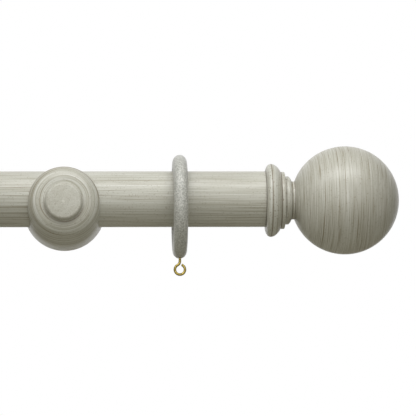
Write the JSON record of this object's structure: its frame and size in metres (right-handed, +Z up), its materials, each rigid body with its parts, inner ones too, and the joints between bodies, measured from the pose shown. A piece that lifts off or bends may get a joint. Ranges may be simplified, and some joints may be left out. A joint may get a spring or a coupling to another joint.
{
  "type": "curtain pole with brackets",
  "caption": "Round wooden curtain pole with ball finials, held in open cup brackets on the wall, carrying wooden rings with small brass screw eyes.",
  "frame": {"origin": "on the wall face, midway between the two brackets and level with their own axes: the centre of the four wall-screw holes", "axes": "+X along the pole to the right, +Y into the wall, +Z up"},
  "size_m": [1.4396, 0.1385, 0.1164],
  "materials": {
    "pole_paint": "grey-green paint dragged along the pole over a darker coat, satin",
    "finial_paint": "grey-green paint dragged round the turning over a darker coat, satin",
    "bracket_paint": "grey-green paint dragged round the turning over a darker coat, satin",
    "ring_paint": "mottled grey paint over a darker coat, satin",
    "beech": "bare turned beech",
    "brass_eye": "polished brass-plated wire",
    "plate_steel": "zinc-plated pressed steel",
    "stud_steel": "zinc-plated steel",
    "insert_brass": "turned brass",
    "lock_steel": "zinc-plated steel"
  },
  "bodies": {
    "brackets": {"bracket_left_cup": "bracket_paint", "bracket_left_button": "bracket_paint", "bracket_left_stem": "bracket_paint", "bracket_left_rose": "bracket_paint", "bracket_left_wall_plate": "plate_steel", "bracket_left_stud": "stud_steel", "bracket_left_insert": "insert_brass", "bracket_left_lock_screw": "lock_steel", "bracket_right_cup": "bracket_paint", "bracket_right_button": "bracket_paint", "bracket_right_stem": "bracket_paint", "bracket_right_rose": "bracket_paint", "bracket_right_wall_plate": "plate_steel", "bracket_right_stud": "stud_steel", "bracket_right_insert": "insert_brass", "bracket_right_lock_screw": "lock_steel"},
    "pole": {"pole": "pole_paint"},
    "finial_left": {"finial_left_collar": "finial_paint", "finial_left_ball": "finial_paint", "finial_left_peg": "beech", "finial_left_dowel": "beech"},
    "finial_right": {"finial_right_collar": "finial_paint", "finial_right_ball": "finial_paint", "finial_right_peg": "beech", "finial_right_dowel": "beech"},
    "ring_01": {"ring_01": "ring_paint", "ring_01_eye": "brass_eye"},
    "ring_02": {"ring_02": "ring_paint", "ring_02_eye": "brass_eye"},
    "ring_03": {"ring_03": "ring_paint", "ring_03_eye": "brass_eye"},
    "ring_04": {"ring_04": "ring_paint", "ring_04_eye": "brass_eye"},
    "ring_05": {"ring_05": "ring_paint", "ring_05_eye": "brass_eye"},
    "ring_06": {"ring_06": "ring_paint", "ring_06_eye": "brass_eye"},
    "ring_07": {"ring_07": "ring_paint", "ring_07_eye": "brass_eye"},
    "ring_08": {"ring_08": "ring_paint", "ring_08_eye": "brass_eye"},
    "ring_09": {"ring_09": "ring_paint", "ring_09_eye": "brass_eye"},
    "ring_10": {"ring_10": "ring_paint", "ring_10_eye": "brass_eye"},
    "ring_11": {"ring_11": "ring_paint", "ring_11_eye": "brass_eye"},
    "ring_12": {"ring_12": "ring_paint", "ring_12_eye": "brass_eye"}
  },
  "joints": [
    {"name": "pole_lift", "type": "slide", "parent": "brackets", "child": "pole", "axis": [0, 0, 1], "range_m": [0, 0.06]},
    {"name": "finial_left_pull", "type": "slide", "parent": "pole", "child": "finial_left", "axis": [-1, 0, 0], "range_m": [0, 0.035]},
    {"name": "finial_right_pull", "type": "slide", "parent": "pole", "child": "finial_right", "axis": [1, 0, 0], "range_m": [0, 0.035]},
    {"name": "ring_01_slide", "type": "slide", "parent": "pole", "child": "ring_01", "axis": [1, 0, 0], "range_m": [-0.0696, 0.0589]},
    {"name": "ring_02_slide", "type": "slide", "parent": "pole", "child": "ring_02", "axis": [1, 0, 0], "range_m": [-0.0338, 0.0623]},
    {"name": "ring_03_slide", "type": "slide", "parent": "pole", "child": "ring_03", "axis": [1, 0, 0], "range_m": [-0.0623, 0.0623]},
    {"name": "ring_04_slide", "type": "slide", "parent": "pole", "child": "ring_04", "axis": [1, 0, 0], "range_m": [-0.0623, 0.0623]},
    {"name": "ring_05_slide", "type": "slide", "parent": "pole", "child": "ring_05", "axis": [1, 0, 0], "range_m": [-0.0623, 0.0623]},
    {"name": "ring_06_slide", "type": "slide", "parent": "pole", "child": "ring_06", "axis": [1, 0, 0], "range_m": [-0.0623, 0.0623]},
    {"name": "ring_07_slide", "type": "slide", "parent": "pole", "child": "ring_07", "axis": [1, 0, 0], "range_m": [-0.0623, 0.0623]},
    {"name": "ring_08_slide", "type": "slide", "parent": "pole", "child": "ring_08", "axis": [1, 0, 0], "range_m": [-0.0623, 0.0623]},
    {"name": "ring_09_slide", "type": "slide", "parent": "pole", "child": "ring_09", "axis": [1, 0, 0], "range_m": [-0.0623, 0.0623]},
    {"name": "ring_10_slide", "type": "slide", "parent": "pole", "child": "ring_10", "axis": [1, 0, 0], "range_m": [-0.0623, 0.0623]},
    {"name": "ring_11_slide", "type": "slide", "parent": "pole", "child": "ring_11", "axis": [1, 0, 0], "range_m": [-0.0623, 0.0338]},
    {"name": "ring_12_slide", "type": "slide", "parent": "pole", "child": "ring_12", "axis": [1, 0, 0], "range_m": [-0.0589, 0.0696]}
  ]
}
